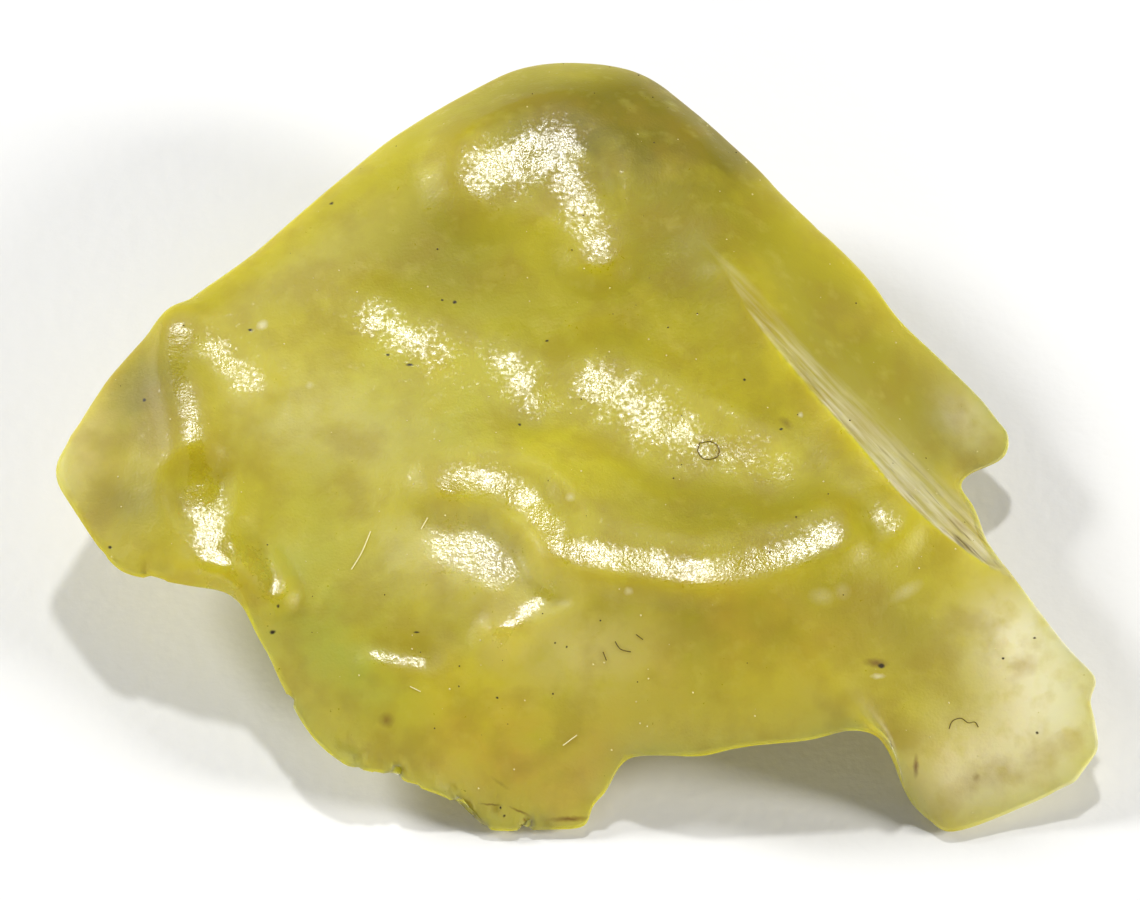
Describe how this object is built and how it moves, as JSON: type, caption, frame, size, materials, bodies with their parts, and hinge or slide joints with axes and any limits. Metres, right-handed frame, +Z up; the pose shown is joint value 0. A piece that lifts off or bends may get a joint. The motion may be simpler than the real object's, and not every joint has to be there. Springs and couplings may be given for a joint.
{
  "type": "libyan desert glass",
  "caption": "Wind-worn flake of pale yellow-green natural silica glass with a scalloped top, undercut arched front edge and thin translucent lobe; lies loose as a specimen.",
  "frame": {"origin": "middle of the fragment's bounding box, on the ground it lies on", "axes": "+X along its longest side, towards the thin lobe; +Y away from the undercut front edge; +Z up, through its least thickness"},
  "size_m": [0.03, 0.0238, 0.0068],
  "materials": {
    "desert_glass": "satin, wind-worn"
  },
  "bodies": {
    "root": {"glass_fragment": "desert_glass"}
  },
  "joints": []
}
